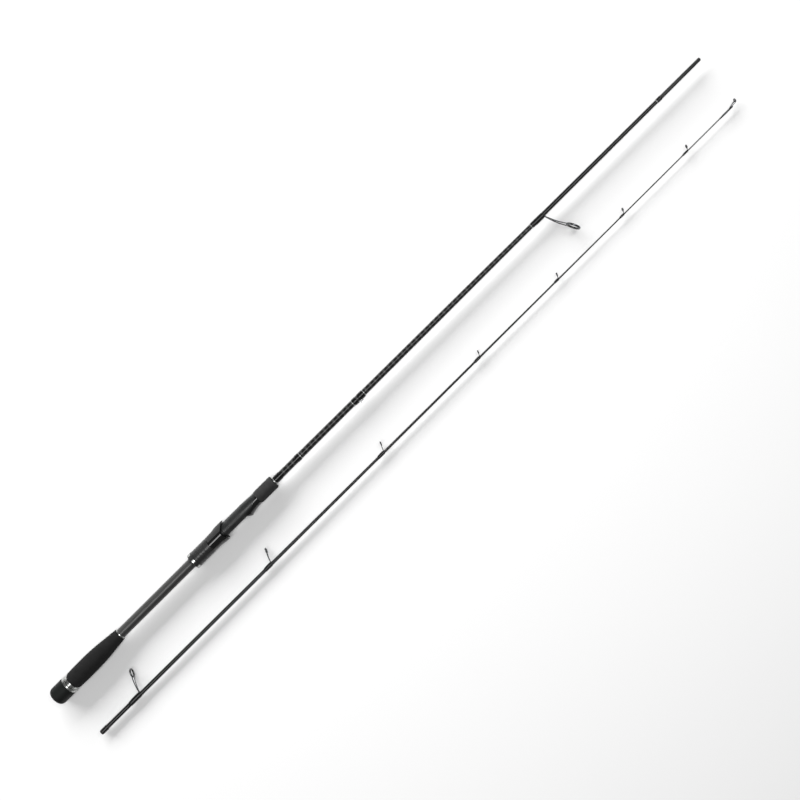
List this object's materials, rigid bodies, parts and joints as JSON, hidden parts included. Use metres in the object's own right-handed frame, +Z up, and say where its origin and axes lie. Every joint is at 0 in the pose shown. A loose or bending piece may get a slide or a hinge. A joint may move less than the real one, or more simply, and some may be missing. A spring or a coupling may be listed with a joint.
{
  "type": "spinning rod",
  "caption": "Spinning fishing rod in two sections laid side by side, with a reel seat, a locking nut, foam grips, a hook keeper and a row of ringed line guides.",
  "frame": {"origin": "under the middle of the two sections, on the surface they lie on", "axes": "+X from the butt to the tips, +Z up, the guides of the butt section towards -Y and those of the tip section towards +Y"},
  "size_m": [1.339, 0.1028, 0.0288],
  "materials": {
    "cap_rubber": "moulded matte rubber",
    "bright_aluminium": "turned and polished",
    "grip_foam": "ground closed-cell foam",
    "foregrip_foam": "ground closed-cell foam",
    "handle_carbon_matte": "matte carbon tube",
    "blank_woven_gloss": "gloss carbon with crossed tape",
    "blank_plain_gloss": "gloss carbon",
    "seat_matte": "moulded satin nylon",
    "hood_gloss": "moulded gloss nylon",
    "nut_matte": "moulded soft-touch nylon",
    "hood_liner_soft": "soft liner",
    "inner_bush": "foam and tape bushes",
    "thread_wrap": "nylon thread under clear varnish",
    "silver_thread": "metallic thread under clear varnish",
    "guide_frame_steel": "dark polished stainless steel",
    "guide_ring_ceramic": "polished ceramic",
    "keeper_steel": "bright stainless wire"
  },
  "bodies": {
    "butt_section": {"butt_blank": "blank_woven_gloss", "butt_cap": "cap_rubber", "butt_ring": "bright_aluminium", "butt_trim_bands": "silver_thread", "fixed_hood_liner": "hood_liner_soft", "foregrip": "foregrip_foam", "foregrip_wrap": "thread_wrap", "guide_1_frame": "guide_frame_steel", "guide_1_ring": "guide_ring_ceramic", "guide_1_wrap": "thread_wrap", "handle_bushes": "inner_bush", "handle_tube": "handle_carbon_matte", "keeper_frame": "keeper_steel", "keeper_front_wrap": "thread_wrap", "keeper_rear_wrap": "thread_wrap", "marker_wrap": "thread_wrap", "rear_grip": "grip_foam", "rear_trim_ring": "bright_aluminium", "seat_arbors": "inner_bush", "seat_body": "seat_matte", "spigot_wrap": "thread_wrap", "winding_check": "bright_aluminium"},
    "tip_section": {"guide_2_frame": "guide_frame_steel", "guide_2_ring": "guide_ring_ceramic", "guide_2_wrap": "thread_wrap", "guide_3_frame": "guide_frame_steel", "guide_3_ring": "guide_ring_ceramic", "guide_3_wrap": "thread_wrap", "guide_4_frame": "guide_frame_steel", "guide_4_ring": "guide_ring_ceramic", "guide_4_wrap": "thread_wrap", "guide_5_frame": "guide_frame_steel", "guide_5_ring": "guide_ring_ceramic", "guide_5_wrap": "thread_wrap", "guide_6_frame": "guide_frame_steel", "guide_6_ring": "guide_ring_ceramic", "guide_6_wrap": "thread_wrap", "guide_7_frame": "guide_frame_steel", "guide_7_ring": "guide_ring_ceramic", "guide_7_wrap": "thread_wrap", "guide_8_frame": "guide_frame_steel", "guide_8_ring": "guide_ring_ceramic", "guide_8_wrap": "thread_wrap", "tip_blank": "blank_plain_gloss", "tip_ferrule_wrap": "thread_wrap", "tip_top_frame": "guide_frame_steel", "tip_top_ring": "guide_ring_ceramic", "tip_top_wrap": "thread_wrap"},
    "sliding_hood": {"sliding_hood": "hood_gloss", "hood_liner": "hood_liner_soft"},
    "lock_nut": {"lock_nut": "nut_matte", "lock_nut_ring": "bright_aluminium"},
    "keeper_loop": {"keeper_loop": "keeper_steel"}
  },
  "joints": [
    {"name": "tip_section_lift", "type": "slide", "parent": "butt_section", "child": "tip_section", "axis": [0, 0, 1], "range_m": [0, 0.3]},
    {"name": "hood_slide", "type": "slide", "parent": "butt_section", "child": "sliding_hood", "axis": [1, 0, 0], "range_m": [0, 0.018]},
    {"name": "nut_turn", "type": "hinge", "parent": "sliding_hood", "child": "lock_nut", "pos_m": [-0.366, 0.03698, 0.0144], "axis": [1, 0, 0], "range_deg": [0, 3240.5]},
    {"name": "keeper_fold", "type": "hinge", "parent": "butt_section", "child": "keeper_loop", "pos_m": [-0.04185, 0.03017, 0.0144], "axis": [0, 0, -1], "range_deg": [0, 170]}
  ],
  "couplings": [
    {"joint": "nut_turn", "follows": "hood_slide", "rad_per_m": 3141.6}
  ]
}
